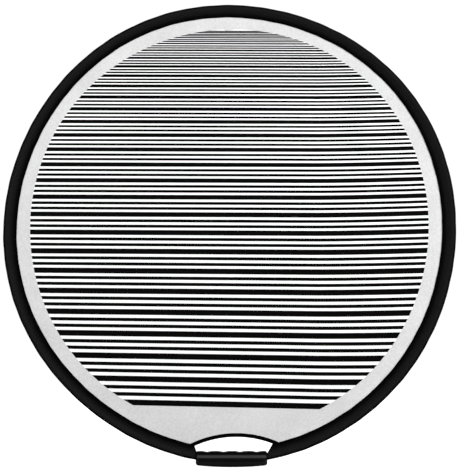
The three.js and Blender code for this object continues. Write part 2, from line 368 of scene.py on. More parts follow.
class Nodes:
    """Shorthand for building a material's node tree."""

    def __init__(self, name, **values):
        self.material = bpy.data.materials.new(name)
        self.material.use_nodes = True
        self.tree = self.material.node_tree
        self.shader = self.tree.nodes["Principled BSDF"]
        for socket, value in values.items():
            self.shader.inputs[socket.replace("_", " ")].default_value = value

    def node(self, kind, settings=None, **values):
        made = self.tree.nodes.new(kind)
        for key, value in (settings or {}).items():
            setattr(made, key, value)
        for socket, value in values.items():
            made.inputs[socket.replace("_", " ")].default_value = value
        return made

    def link(self, source, target):
        self.tree.links.new(source, target)

    def coordinates(self, uv=False):
        """The piece's own place, or its tape coordinates."""
        return self.node("ShaderNodeTexCoord").outputs["UV" if uv else "Object"]

    def noise(self, vector, scale, detail=3.0):
        made = self.node("ShaderNodeTexNoise", Scale=scale, Detail=detail)
        self.link(vector, made.inputs["Vector"])
        return made.outputs["Fac"]

    def wave(self, vector, scale, direction):
        made = self.node("ShaderNodeTexWave", {"bands_direction": direction}, Scale=scale)
        self.link(vector, made.inputs["Vector"])
        return made.outputs["Fac"]

    def math(self, operation, *values):
        made = self.node("ShaderNodeMath", {"operation": operation})
        for socket, value in zip(made.inputs, values):
            if isinstance(value, (int, float)):
                socket.default_value = value
            else:
                self.link(value, socket)
        return made.outputs[0]

    def ramp(self, factor, stops):
        """Grey tone that runs through stops of place and tone."""
        made = self.node("ShaderNodeValToRGB")
        elements = made.color_ramp.elements
        while len(elements) < len(stops):
            elements.new(1.0)
        for element, (position, tone) in zip(elements, stops):
            element.position = position
            element.color = (tone, tone, tone, 1)
        self.link(factor, made.inputs["Fac"])
        return made.outputs["Color"]

    def split(self, vector):
        """First, second and third part of a vector."""
        made = self.node("ShaderNodeSeparateXYZ")
        self.link(vector, made.inputs["Vector"])
        return made.outputs

    def base_colour(self, tone):
        self.link(tone, self.shader.inputs["Base Color"])

    def tint(self, factor, dark, light):
        """Colours the material from dark to light grey."""
        self.base_colour(self.ramp(factor, ((0.3, dark), (0.7, light))))

    def bump(self, height, strength, distance):
        made = self.node("ShaderNodeBump", Strength=strength, Distance=distance)
        self.link(height, made.inputs["Height"])
        self.link(made.outputs["Normal"], self.shader.inputs["Normal"])

    def roughness(self, factor, low, high):
        made = self.math("MULTIPLY_ADD", factor, high - low, low)
        self.link(made, self.shader.inputs["Roughness"])


# A wave texture turns once in 2 pi / 20 / scale of its coordinate.
WAVE_UNIT = 2 * math.pi / 20
WEAVE_PITCH = 0.55 * MM  # of the cloth's threads
TAPE_RIB_PITCH = 0.9 * MM
TAPE_THREAD_PITCH = 0.6 * MM
THREAD_TWIST = 0.5 * MM


def weave(nodes, vector):
    """Height of a plain weave."""
    scale = WAVE_UNIT / WEAVE_PITCH
    warp = nodes.wave(vector, scale, "X")
    weft = nodes.wave(vector, scale, "Z")
    return nodes.math("MULTIPLY", warp, weft)


# Tape: share of the way across from the open edge to the fold, and its tone there: a painted
# sheen over the steel and painted shade towards both edges.
TAPE_SHEEN_AND_SHADE = ((0.0, 0.0009), (0.14, 0.0012), (0.24, 0.0025), (0.33, 0.0045), (0.46, 0.0065),
              (0.62, 0.0088), (0.76, 0.0092), (0.84, 0.0075), (0.92, 0.0018), (0.98, 0.0008))


def make_tape_material():
    """Ribbed black webbing, with a painted sheen over the steel and painted shade along its
    stitched edge and its fold.
    """
    nodes = Nodes("black_tape", Roughness=0.85, Specular_IOR_Level=0.0)
    place = nodes.coordinates(uv=True)
    patches = nodes.noise(place, 60, 4)
    across = nodes.math("MULTIPLY_ADD", nodes.split(place)[1], 1 / TAPE_WIDTH, -0.06)
    # The ramp across the tape paints a sheen over the steel and shade at both edges.
    tone = nodes.ramp(nodes.math("MULTIPLY_ADD", patches, 0.12, across), TAPE_SHEEN_AND_SHADE)
    speckle = nodes.math("MULTIPLY_ADD", nodes.noise(place, 650, 3), 2.4, -0.2)
    nodes.base_colour(nodes.math("MULTIPLY", tone, speckle))
    ribs = nodes.wave(place, WAVE_UNIT / TAPE_RIB_PITCH, "X")
    threads = nodes.wave(place, WAVE_UNIT / TAPE_THREAD_PITCH, "Y")
    grain = nodes.noise(place, 1400, 2)
    height = nodes.math("ADD", nodes.math("MULTIPLY", ribs, threads), grain)
    nodes.bump(height, 0.5, 0.1 * MM)
    nodes.roughness(patches, 0.75, 0.95)
    return nodes.material


def make_cloth_material(name, dark, light, seed_shift):
    """Finely woven polyester, a little uneven in tone."""
    nodes = Nodes(name, Roughness=0.8, Specular_IOR_Level=0.2)
    place = nodes.coordinates()
    shifted = nodes.node("ShaderNodeMapping", Location=(seed_shift, 0, 0))
    nodes.link(place, shifted.inputs["Vector"])
    cloudy = nodes.noise(shifted.outputs["Vector"], 18, 3)
    grain = nodes.noise(place, 520, 3)
    mixed = nodes.math("MULTIPLY_ADD", cloudy, 0.4, nodes.math("MULTIPLY", grain, 0.6))
    nodes.tint(mixed, dark, light)
    fine = nodes.noise(place, 900, 2)
    height = nodes.math("ADD", weave(nodes, place), nodes.math("MULTIPLY", fine, 0.4))
    nodes.bump(height, 0.25, 0.05 * MM)
    nodes.roughness(cloudy, 0.74, 0.88)
    return nodes.material


def make_ink_material():
    """Black printing ink soaked into the weave."""
    nodes = Nodes("print_ink", Roughness=0.7, Specular_IOR_Level=0.02)
    place = nodes.coordinates()
    uneven = nodes.noise(place, 220, 3)
    nodes.tint(uneven, 0.0008, 0.0022)
    nodes.bump(weave(nodes, place), 0.2, 0.05 * MM)
    nodes.roughness(uneven, 0.6, 0.8)
    return nodes.material


# Grip: height over its foot and the tone there, a painted highlight on the bevel and painted
# shade in the hollow and over the finger ridge; then the distance from an end and the tone there,
# a painted highlight on the frame's edge.
GRIP_HIGHLIGHT_AND_SHADE = ((2.0 * MM, 0.0045), (5.5 * MM, 0.0055), (8.5 * MM, 0.002), (11.5 * MM, 0.0035),
                 (13.4 * MM, 0.034), (15.0 * MM, 0.032), (16.6 * MM, 0.0004))
FRAME_EDGE_HIGHLIGHT = ((1.6 * MM, 0.0005), (2.6 * MM, 0.012), (4.2 * MM, 0.0008))
GRIP_FACE_HEIGHT = 16.0 * MM
RAMP_LENGTH = 25 * MM


def make_plastic_material():
    """Black moulded nylon with a fine spark-eroded grain, a painted highlight on the bevel and
    the frame's edge, and painted shade in the hollow and over the ridge.
    """
    nodes = Nodes("grip_plastic", Roughness=0.5, Specular_IOR_Level=0.04)
    place = nodes.coordinates()
    worn = nodes.noise(place, 90, 4)
    from_end, height, _ = nodes.split(nodes.coordinates(uv=True))
    uneven = nodes.math("MULTIPLY_ADD", worn, 0.6 * MM, -0.3 * MM)
    painted_light_ramps = []
    for distance, stops in ((height, GRIP_HIGHLIGHT_AND_SHADE), (from_end, FRAME_EDGE_HIGHLIGHT)):
        share = nodes.math("MULTIPLY", nodes.math("ADD", distance, uneven), 1 / RAMP_LENGTH)
        painted_light_ramps.append(nodes.ramp(share, [(stop / RAMP_LENGTH, tone) for stop, tone in stops]))
    # Painted highlight on the bevel and the frame's edge; painted shade in the hollow and over
    # the finger ridge.
    on_face = nodes.math("LESS_THAN", height, GRIP_FACE_HEIGHT)
    frame_highlight = nodes.math("MULTIPLY", painted_light_ramps[1], on_face)
    inside = nodes.math("GREATER_THAN", from_end, FRAME_EDGE_HIGHLIGHT[0][0])
    tone = nodes.math("MAXIMUM", nodes.math("MULTIPLY", painted_light_ramps[0], inside), frame_highlight)
    nodes.base_colour(tone)
    nodes.bump(nodes.noise(place, 2600, 2), 0.35, 0.08 * MM)
    nodes.roughness(worn, 0.42, 0.6)
    return nodes.material


def make_steel_material(name, tone, roughness):
    """Steel with fine marks along its length."""
    nodes = Nodes(name, Metallic=1.0)
    place = nodes.coordinates()
    marks = nodes.noise(place, 500, 5)
    nodes.tint(marks, tone * 0.8, tone)
    nodes.bump(marks, 0.15, 0.03 * MM)
    nodes.roughness(marks, roughness - 0.08, roughness + 0.12)
    return nodes.material


def make_thread_material():
    """Twisted black sewing thread."""
    nodes = Nodes("thread", Roughness=0.6, Specular_IOR_Level=0.02)
    place = nodes.coordinates(uv=True)
    twist = nodes.wave(place, WAVE_UNIT / THREAD_TWIST, "DIAGONAL")
    nodes.tint(twist, 0.0015, 0.004)
    nodes.bump(twist, 0.4, 0.05 * MM)
    return nodes.material


TAPE = make_tape_material()
THREAD = make_thread_material()
PRINT_WHITE = make_cloth_material("print_white", 0.90, 0.94, 0.0)
PLAIN_CLOTH = make_cloth_material("plain_cloth", 0.49, 0.65, 0.0)
LINING = make_cloth_material("lining_cloth", 0.52, 0.66, 5.0)
INK = make_ink_material()
PLASTIC = make_plastic_material()
SPRING_STEEL = make_steel_material("spring_steel", 0.3, 0.35)
FERRULE_STEEL = make_steel_material("ferrule_steel", 0.5, 0.3)
SCREW_STEEL = make_steel_material("screw_steel", 0.12, 0.4)


# ---- folded tapes ----


def hoop_profile():
    """Depth and half thickness of the hoop's tape, from its open edge to its fold."""
    rise = np.linspace(HEM_WIDTH, TUBE_DEPTH - FLANK_END_GAP, 6)
    turn = np.radians(np.linspace(0, 90, 9))
    depth = [*HEM_DEPTHS, *rise, *(TUBE_DEPTH + (TAPE_WIDTH - TUBE_DEPTH) * np.sin(turn))]
    share = (rise - HEM_WIDTH) / (TUBE_DEPTH - HEM_WIDTH)
    flank = HEM_HALF + (TUBE_HALF - HEM_HALF) * smoothstep(share)
    hem = [HEM_HALF - EDGE_THINNING, *[HEM_HALF] * (len(HEM_DEPTHS) - 1)]
    return np.array(depth), np.array([*hem, *flank, *(TUBE_HALF * np.cos(turn))])


def trim_profile():
    """The same for the narrow trim of the hand opening."""
    bend = np.radians(np.linspace(0, 90, 6))
    round_start = TRIM_WIDTH - TRIM_HALF
    depth = [0, 0.3 * MM, 1.2 * MM, *(round_start + TRIM_HALF * np.sin(bend))]
    half = [TRIM_HALF - EDGE_THINNING, TRIM_HALF, TRIM_HALF, *(TRIM_HALF * np.cos(bend))]
    return np.array(depth), np.array(half)


def folded_section(profile):
    """Closed outline: out along the front, round the fold, back in, and home inside."""
    depth, half = profile
    inner_depth = np.minimum(depth, depth[-1] - SKIN)
    inner_half = np.maximum(half - SKIN, LEAST_HALF)
    loop_depth = [*depth, *depth[-2::-1], *inner_depth, *inner_depth[::-1]]
    loop_side = [*-half, *half[-2::-1], *inner_half, *-inner_half[::-1]]
    return np.array(loop_depth), np.array(loop_side)


def add_stitches(shape, place, along_from, along_to, half):
    """A row of stitches on each face of a tape, those with their middles within its length.
    place(along, depth, side) gives points. The thread is the tape's second material."""
    first = math.ceil(along_from / STITCH_PITCH - 0.5)
    last = math.ceil(along_to / STITCH_PITCH - 0.5)
    turn = np.radians(np.arange(0, 360, 60))
    reach, swell = np.transpose(STITCH_ROUND) * [[STITCH_LENGTH], [THREAD_RADIUS]]
    faces = loft_faces(len(reach), len(turn))
    for number in range(first, last):
        middle = (number + 0.5) * STITCH_PITCH
        for face in (-1, 1):
            along = middle + reach[:, None] + 0 * turn[None, :]
            depth = STITCH_ROW + swell[:, None] * np.cos(turn)[None, :]
            level = half - STITCH_SINK + STITCH_SINK * (swell[:, None] / THREAD_RADIUS)
            side = face * (level + swell[:, None] * np.sin(turn)[None, :])
            uvs = np.stack([along, depth], axis=-1)
            shape.add(place(along, depth, side), faces, 1, uvs)


def loose_depth(angle, depth):
    """Depth with the tape's spare width shared between its two edges."""
    loose = LOOSE_WIDTH + LOOSE_GAIN * np.cos(angle - LOOSEST)
    return depth + loose * (depth / TAPE_WIDTH - 0.5)


def tape_place(along, depth, side):
    angle = along / HOOP_RADIUS
    return hoop_point(angle, loose_depth(angle, depth), side)


def tape_rings(angle, depth, side):
    """The tape's outline at each angle, drawn in by the stitches and a little slack."""
    along = angle * HOOP_RADIUS
    row = np.exp(-(((depth - STITCH_ROW) / STITCH_PULL_WIDTH) ** 2))
    pull = row * (0.5 + 0.5 * np.cos(2 * np.pi * along / STITCH_PITCH))
    slack = hoop_waves(angle, (37, 61, 83, 131), 3) * smoothstep(depth / TAPE_WIDTH)
    squeezed = side * (1 - STITCH_PULL * pull + TAPE_SLACK * slack)
    edge = hoop_waves(angle, (23, 47, 71), 5) * EDGE_WANDER
    return hoop_point(angle, loose_depth(angle, depth) + edge, squeezed)


def tape_normals(angle, depth, side):
    """Normals of the tape's outline, so that neighbouring lengths shade as one tape."""
    step = 0.1 * STITCH_PITCH / HOOP_RADIUS
    forward = tape_rings(angle + step, depth, side) - tape_rings(angle - step, depth, side)
    rings = tape_rings(angle, depth, side)
    around = np.roll(rings, -1, axis=1) - np.roll(rings, 1, axis=1)
    normals = np.cross(around, forward).reshape(-1, 3)
    return normals / np.linalg.norm(normals, axis=1, keepdims=True)


def hoop_tape(name, start, end, slant=0.0):
    """A length of the hoop's tape. The slant runs the outer edge on past the start."""
    stitches = abs(end - start) * HOOP_RADIUS / STITCH_PITCH
    count = max(LEAST_STATIONS, round(stitches * STATIONS_PER_STITCH))
    depth, side = folded_section(hoop_profile())
    share = np.linspace(0, 1, count + 1)[:, None]
    angle = start + share * (end - start)
    angle = angle - slant * (depth[None, :] / TAPE_WIDTH) * (1 - share) ** 4
    along = angle * HOOP_RADIUS
    shape = Shape()
    shape.add(tape_rings(angle, depth, side), loft_faces(count + 1, len(depth)), 0,
              np.stack([along, depth + 0 * along], -1))
    tape_points = shape.count
    ends = sorted((start * HOOP_RADIUS, end * HOOP_RADIUS))
    add_stitches(shape, tape_place, ends[0], ends[1], HEM_HALF)
    obj = shape.build(name, [TAPE, THREAD])
    normals = np.zeros((shape.count, 3))
    normals[:tape_points] = tape_normals(angle, depth, side)
    obj.data.normals_split_custom_set_from_vertices(normals.tolist())
    return obj


def hoop_steel(name, start, end):
    """A length of the steel strip with rounded corners."""
    turn = np.radians([15, 75, 105, 165, 195, 255, 285, 345])
    out, across = np.cos(turn), np.sin(turn)
    depth = STEEL_DEPTH + np.sign(out) * STEEL_THICKNESS / 2 * abs(out) ** STEEL_SQUARENESS
    side = np.sign(across) * STEEL_WIDTH / 2 * abs(across) ** STEEL_SQUARENESS
    count = max(4, round(abs(end - start) * HOOP_RADIUS / STEEL_STEP))
    angle = np.linspace(start, end, count + 1)[:, None]
    shape = Shape()
    shape.add(hoop_point(angle, depth[None, :], side[None, :]), loft_faces(count + 1, len(turn)))
    return shape.build(name, [SPRING_STEEL])


def bend_over_joint(obj, side, number):
    """Bakes the placement of a piece that runs from the middle of one link to the middle of the
    next.
    """
    near = middle_angle(number - 1) if number > 1 else ROOT_BEND_START * ROOT_HALF_ANGLE
    start = hoop_point(np.array(side * near), 0, 0)
    end = hoop_point(np.array(side * middle_angle(number)), 0, 0)
    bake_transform(obj)


def make_hoop_side(side):
    """Tape and steel of one half of the hoop: a length over each joint, and the end."""
    word = "right" if side > 0 else "left"
    tape_start = TAPE_END_RIGHT if side > 0 else TAPE_END_LEFT
    slant = TAPE_SLANT_RIGHT if side > 0 else TAPE_SLANT_LEFT
    for number in range(1, LINKS_PER_SIDE + 1):
        label = f"{word}_{number:02d}"
        near = middle_angle(number - 1) if number > 1 else tape_start
        far = middle_angle(number)
        tape = hoop_tape(f"hoop_tape_{label}", side * near, side * far,
                         side * slant if number == 1 else 0)
        steel_near = near if number > 1 else ROOT_STEEL_START * ROOT_HALF_ANGLE
        steel = hoop_steel(f"hoop_steel_{label}", side * steel_near, side * far)
        for obj, material in ((tape, "tape"), (steel, "steel")):
            bend_over_joint(obj, side, number)
            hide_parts(f"{material}_{label}")
            if number == 1:
                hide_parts(f"{material}_grip_{word}")
    last = middle_angle(LINKS_PER_SIDE)
    end_link = link_name(side, LINKS_PER_SIDE)
    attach(hoop_tape(f"hoop_tape_{word}_end", side * last, side * math.pi), end_link)
    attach(hoop_steel(f"hoop_steel_{word}_end", side * last, side * math.pi), end_link)


def make_opening_trim():
    """Narrow tape folded over the cloths along the top of the hand opening."""
    depth, side = folded_section(trim_profile())
    length = (TRIM_LEFT + TRIM_RIGHT) * OPENING_RADIUS
    count = round(length / STITCH_PITCH * STATIONS_PER_STITCH)

    def place(along, depth, side):
        angle = TRIM_RIGHT - along / OPENING_RADIUS
        radius = OPENING_RADIUS + TRIM_WIDTH - depth
        x = OPENING_CENTRE.x + radius * np.sin(angle)
        z = CENTRE_Z + OPENING_CENTRE.y + radius * np.cos(angle)
        return np.stack(np.broadcast_arrays(x, side, z), axis=-1)

    along = np.linspace(0, length, count + 1)[:, None]
    pull = TRIM_PULL * (0.5 + 0.5 * np.cos(2 * np.pi * along / STITCH_PITCH))
    shape = Shape()
    shape.add(place(along, depth[None, :], side * (1 - pull)), loft_faces(count + 1, len(depth)),
              0, np.stack(np.broadcast_arrays(along, depth), -1))
    add_stitches(shape, place, 0, length, TRIM_HALF)
    trim = shape.build("opening_trim_tape", [TAPE, THREAD])
    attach(trim, "grip")
    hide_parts("opening_trim")


# ---- cloth ----


def bar_width(pitch, widths):
    return float(np.interp(pitch, *np.transpose(widths) * MM))


def printed_bars():
    """Lower and upper edges of the printed bars, from the top down."""
    height, pitch, growth = FIRST_BAR_HEIGHT, FIRST_PITCH, PITCH_GROWTH
    top_thin = height + THIN_BAR_PLACES[0] * (pitch - growth)
    bars = [(top_thin, bar_width(pitch, THIN_BAR_WIDTHS))]
    for number in range(BAR_COUNT):
        bars.append((height, bar_width(pitch, THICK_BAR_WIDTHS)))
        if number < BAR_COUNT - 1:
            thin = bar_width(pitch, THIN_BAR_WIDTHS)
            bars += [(height - place * pitch, thin) for place in THIN_BAR_PLACES]
        height -= pitch
        pitch += growth
        growth -= GROWTH_LOSS
    return [(middle - width / 2, middle + width / 2) for middle, width in bars]


BARS = printed_bars()
PRINT_BOTTOM = BARS[-1][0]


def print_slope(x, z):
    """How far the print hangs below level: the bars run down a little to the right,
    more so lower on the panel, and turn up again near the right edge."""
    below = np.maximum(BAR_SLOPE_START - z, 0) / BAR_SLOPE_REACH
    beyond = np.maximum(x - BAR_LIFT_START, 0) / BAR_LIFT_REACH
    down = BAR_SLOPE + BAR_SLOPE_GAIN * below ** 2
    lift = BAR_LIFT * beyond ** BAR_LIFT_POWER
    inside = 1 - smoothstep((np.hypot(x, z) - PRINT_RADIUS) / SLOPE_FADE)
    return (down * x - lift) * inside


def in_print(x, z, margin=0.0):
    """Whether a place in the level plan of the sheet lies in the print, or this near it."""
    hung = z - print_slope(x, z)
    rim = PRINT_RADIUS + out_of_round(np.arctan2(x, -hung), PRINT_OUT_OF_ROUND)
    return (np.hypot(x, hung) < rim + margin) & (z > PRINT_BOTTOM - margin)


def bar_end(height, side):
    """How far a bar's edge reaches to one side before it meets the rim of the print."""
    inside, outside = 0.0, side * 1.05 * PRINT_RADIUS
    for _ in range(HALVINGS):
        middle = (inside + outside) / 2
        if in_print(middle, height, EDGE_TOLERANCE):
            inside = middle
        else:
            outside = middle
    return inside


def rim_place(angle):
    """Place in the level plan that the slope brings onto the rim of the print."""
    radius = PRINT_RADIUS + out_of_round(angle, PRINT_OUT_OF_ROUND)
    x, hung = radius * math.sin(angle), -radius * math.cos(angle)
    z = hung
    for _ in range(8):
        z = hung + print_slope(x, z)
    return x, z


def cloth_outline_radius(angle):
    return inner_radius(angle) + CLOTH_TUCK


class SheetPlan:
    """Points and fixed edges of a flat sheet, for the triangulation."""

    def __init__(self):
        self.points, self.edges = [], []

    def line(self, xs, zs, closed=False):
        first = len(self.points)
        self.points += [Vector((x, z)) for x, z in zip(xs, zs)]
        self.edges += [(i, i + 1) for i in range(first, len(self.points) - 1)]
        if closed:
            self.edges.append((len(self.points) - 1, first))

    def scatter(self, xs, zs):
        self.points += [Vector((x, z)) for x, z in zip(xs, zs)]


def round_points(centre, radius_of, step):
    """Places round a centre, at a distance that radius_of gives for each angle."""
    angles = np.arange(0, 2 * np.pi, step)
    radius = radius_of(np.where(angles > np.pi, angles - 2 * np.pi, angles))
    return centre[0] + radius * np.sin(angles), centre[1] - radius * np.cos(angles)


def plan_print(plan):
    """Each bar's two edges, and the rim of the print on each side down to its foot."""
    edges = sorted(edge for bar in BARS for edge in bar)
    for side in (-1, 1):
        rim = []
        for edge in edges:
            reach = bar_end(edge, side)
            if in_print(0, edge, EDGE_TOLERANCE):
                angle = math.atan2(side * reach, print_slope(reach, edge) - edge)
                rim.append((angle, reach, edge))
                count = max(1, math.ceil(abs(reach) / CLOTH_STEP))
                plan.line(np.linspace(0, reach, count + 1), [edge] * (count + 1))
        foot = min(rim)[0]
        for angle in np.arange(0, math.pi, math.radians(1.5)):
            if angle > foot:
                rim.append((angle, *rim_place(side * angle)))
        rim.sort()
        plan.line([x for _, x, _ in rim], [z for _, _, z in rim])


def plan_plain(plan):
    """Rows of points over the inside of the sheet."""
    rows = np.arange(-HOOP_RADIUS, HOOP_RADIUS, CLOTH_STEP)
    for number, z in enumerate(rows):
        xs = rows + (number % 2) * CLOTH_STEP / 2
        kept = xs[np.hypot(xs, z) < PRINT_RADIUS]
        plan.scatter(kept, [z] * len(kept))


def plan_margin(plan):
    """Points between the print and the hoop, close enough together for the puckers."""
    for depth in MARGIN_DEPTHS:
        xs, zs = round_points((0, 0), lambda angle: inner_radius(angle) + depth * MM, MARGIN_STEP)
        clear = ~in_print(xs, zs, PRINT_CLEARANCE)
        plan.scatter(xs[clear], zs[clear])
    rows = np.arange(PRINT_BOTTOM - CLOTH_STEP, -HOOP_RADIUS, -CLOTH_STEP)
    for z in rows:
        xs = np.arange(-FOOT_HALF_WIDTH, FOOT_HALF_WIDTH, CLOTH_STEP)
        kept = xs[np.hypot(xs, z) < HOOP_RADIUS - TAPE_WIDTH - FOOT_CLEARANCE]
        plan.scatter(kept, [z] * len(kept))


def in_sheet(x, z):
    angle = math.atan2(x, -z)
    opening = math.hypot(x - OPENING_CENTRE.x, z - OPENING_CENTRE.y)
    return math.hypot(x, z) < cloth_outline_radius(angle) and opening > OPENING_RADIUS + SKIN


def triangulate_sheet(printed):
    """Flat points and triangles of a whole sheet, cut along every fold line."""
    plan = SheetPlan()
    plan.line(*round_points((0, 0), cloth_outline_radius, math.radians(1)), closed=True)
    plan.line(*round_points(OPENING_CENTRE, lambda _: OPENING_RADIUS + SKIN, math.radians(2)),
              closed=True)
    plan.scatter([0], [0])
    for angle in (*FOLD_ANGLES, math.pi):
        along = np.linspace(CLOTH_STEP, cloth_outline_radius(angle), 35)
        plan.line([0, *along * math.sin(angle)], [0, *-along * math.cos(angle)])
    plan_margin(plan)
    if printed:
        plan_print(plan)
    else:
        plan_plain(plan)
    points, _, triangles = delaunay_2d_cdt(plan.points, plan.edges, [], 0, 1e-7)[:3]
    flat = np.array([tuple(p) for p in points])
    middles = flat[np.array(triangles)].mean(axis=1)
    kept = [i for i, (x, z) in enumerate(middles) if in_sheet(x, z)]
    return flat, [triangles[i] for i in kept], middles[kept]


def cloth_relief(x, z):
    """The taut cloth's shallow waves, and puckers where the tape gathers it. Both sheets
    share them, so they stay one behind the other."""
    angle, radius = np.arctan2(x, -z), np.hypot(x, z)
    inwards = inner_radius(angle) - radius
    rng = np.random.default_rng(11)
    waves = 0
    for length in WAVE_LENGTHS:
        for _ in range(2):
            turn, phase = rng.uniform(0, 2 * np.pi, 2)
            along = x * np.cos(turn) + z * np.sin(turn)
            waves += length * np.sin(2 * np.pi * along / length + phase)
    waves *= WAVE_HEIGHT * smoothstep(inwards / WAVE_FADE)
    pucker = hoop_waves(angle, (71, 97, 113, 157), 12)
    near_tape = np.exp(-(((inwards - PUCKER_DEPTH) / PUCKER_SPREAD) ** 2))
    return waves + PUCKER_HEIGHT * pucker * near_tape * (inwards > -1 * MM)


def face_slots(x, z):
    """0 for the white of the print, 1 for ink, 2 for plain cloth."""
    ink = np.any([(low < z) & (z < high) for low, high in BARS], axis=0)
    return np.where(in_print(x, z), np.where(ink, 1, 0), 2)


def rim_edges(triangles):
    """Edges that only one triangle uses."""
    seen = set()
    for a, b, c in triangles:
        for edge in ((a, b), (b, c), (c, a)):
            if edge[::-1] in seen:
                seen.discard(edge[::-1])
            else:
                seen.add(edge)
    return sorted(seen)


def sheet_normals(points, triangles):
    """Normal at each point of a whole sheet, so its wedges shade as one cloth."""
    corners = points[triangles]
    across = np.cross(corners[:, 1] - corners[:, 0], corners[:, 2] - corners[:, 0])
    total = np.zeros_like(points)
    for corner in range(3):
        np.add.at(total, triangles[:, corner], across)
    return total / np.maximum(np.linalg.norm(total, axis=1, keepdims=True), 1e-12)


def wedge(name, sheet, normals, triangles, slots, materials):
    """The part of a sheet between two fold lines, as a thin closed piece. Only its front is
    printed: its back and its rims have the last material."""
    used = sorted({index for triangle in triangles for index in triangle})
    where = {index: place for place, index in enumerate(used)}
    points = sheet[used]
    count = len(used)
    back = points + [0, CLOTH_THICKNESS, 0]
    local = [[where[index] for index in triangle] for triangle in triangles]
    rims = rim_edges(local)
    faces = local + [[index + count for index in triangle[::-1]] for triangle in local]
    faces += [[b, a, a + count, b + count] for a, b in rims]
    shape = Shape()
    shape.add(np.concatenate([points, back]), faces)
    shape.slots = slots + [len(materials) - 1] * (len(slots) + len(rims))
    shape.smooth = [True] * (2 * len(slots)) + [False] * len(rims)
    obj = shape.build(name, materials)
    outwards = np.concatenate([normals[used], -normals[used]])
    obj.data.normals_split_custom_set_from_vertices(outwards.tolist())
    return obj


def fold_line_ends():
    """The hinge at the end of each fold line, with the top of the hoop counted twice."""
    hinges = sorted((joint["pos_m"] for joint in frame["joints"]), key=lambda pos: polar(pos)[0])
    top = (0, 0, CENTRE_Z + HOOP_RADIUS - TAPE_WIDTH)
    return [Vector((x, 0, z)) for x, _, z in (top, *hinges, top)]


def gather(obj, place, corners):
    """Lets a wedge ride its link, with a mesh of its own."""
    number = place - LINKS_PER_SIDE
    side = 1 if number >= 0 else -1
    body = link_name(side, abs(number))
    a, b = corners[place], corners[place + 1]
    middle = (a + b) / 2
    inwards = Vector((0, 0, CENTRE_Z)) - middle
    along = (b - a).normalized()
    inwards -= along * inwards.dot(along)
    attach(obj, body)
    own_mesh(obj)


def make_cloth(label, node, y, printed, materials):
    """One sheet of cloth, in a wedge for each link of the hoop."""
    flat, triangles, middles = triangulate_sheet(printed)
    x, z = flat[:, 0], flat[:, 1]
    drop = print_slope(x, z) if printed else 0 * x
    relief = cloth_relief(x, z)
    sheet = np.stack([x, y + relief, CENTRE_Z + z - drop], axis=-1)
    normals = sheet_normals(sheet, np.array(triangles))
    slots = face_slots(*middles.T) if printed else np.zeros(len(middles), int)
    angles = np.arctan2(middles[:, 0], -middles[:, 1])
    places = np.searchsorted(FOLD_ANGLES, angles)
    corners = fold_line_ends()
    for place in range(2 * LINKS_PER_SIDE + 1):
        chosen = np.flatnonzero(places == place)
        obj = wedge(f"{label}_{place:02d}", sheet, normals, [triangles[i] for i in chosen],
                    slots[chosen].tolist(), materials)
        gather(obj, place, corners)
        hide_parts(node)


# ---- grip ----


def fillet(corners):
    """Rounds a line's inner corners. Each corner is y, z and how far its round reaches."""
    points = [corners[0][:2]]
    for before, corner, after in zip(corners, corners[1:], corners[2:]):
        middle = np.array(corner[:2])
        ends = []
        for other in (before, after):
            step = np.array(other[:2]) - middle
            length = max(np.linalg.norm(step), 1e-9)
            ends.append(middle + step / length * min(corner[2], 0.48 * length))
        for t in np.linspace(0, 1, FILLET_STEPS + 1):
            points.append((1 - t) ** 2 * ends[0] + 2 * t * (1 - t) * middle + t * t * ends[1])
    points.append(corners[-1][:2])
    return np.array([tuple(p) for p in points])


def grip_top(x):
    """Height of the ridge: broad swellings with narrow dips for the fingers."""
    dip = (1 - math.cos(2 * math.pi * (x - FINGER_PHASE_X) / FINGER_SPACING)) / 2
    return FINGER_HEIGHT - FINGER_DEPTH * dip ** 2.5


def grip_bottom(x):
    """Height of the foot, which sweeps up a little towards both ends."""
    return (x - (GRIP_LOW.x + GRIP_HIGH.x) / 2) ** 2 / (2 * GRIP_FOOT_RADIUS)


def front_section(x, inset, border):
    """Front shell: finger ridge, a bevel down to the plate, a hollow face, a round foot."""
    top, foot = grip_top(x) - inset, grip_bottom(x) + inset
    ridge = RIDGE_HALF - inset
    plate = GRIP_HALF - inset - 0.9 * MM * border
    return fillet([
        (-SHELL_GAP, top - LIP, 0),
        (-SHELL_GAP, top, 0.4 * MM),
        (-ridge, top, 4.2 * MM),
        (-ridge - 0.3 * MM, RIDGE_FOOT - 0.3 * inset, 0.5 * MM),
        (-plate, BEVEL_FOOT, 1.4 * MM),
        (-plate + 0.75 * MM, HOLLOW_TOP, 2.5 * MM),
        (-plate + 0.2 * MM, HOLLOW_FOOT, 1.5 * MM),
        (-plate + 0.9 * MM, foot, 2.6 * MM),
        (-SHELL_GAP, foot, 0.4 * MM),
        (-SHELL_GAP, foot + LIP, 0),
    ])


def back_section(x, inset, _):
    """Back shell: a plain rounded back, without a border."""
    top, foot = grip_top(x) - inset, grip_bottom(x) + inset
    face = GRIP_HALF - inset
    return fillet([
        (SHELL_GAP, top - LIP, 0),
        (SHELL_GAP, top, 0.4 * MM),
        (face, top, 5.0 * MM),
        (face, foot, 3.6 * MM),
        (SHELL_GAP, foot, 0.4 * MM),
        (SHELL_GAP, foot + LIP, 0),
    ])


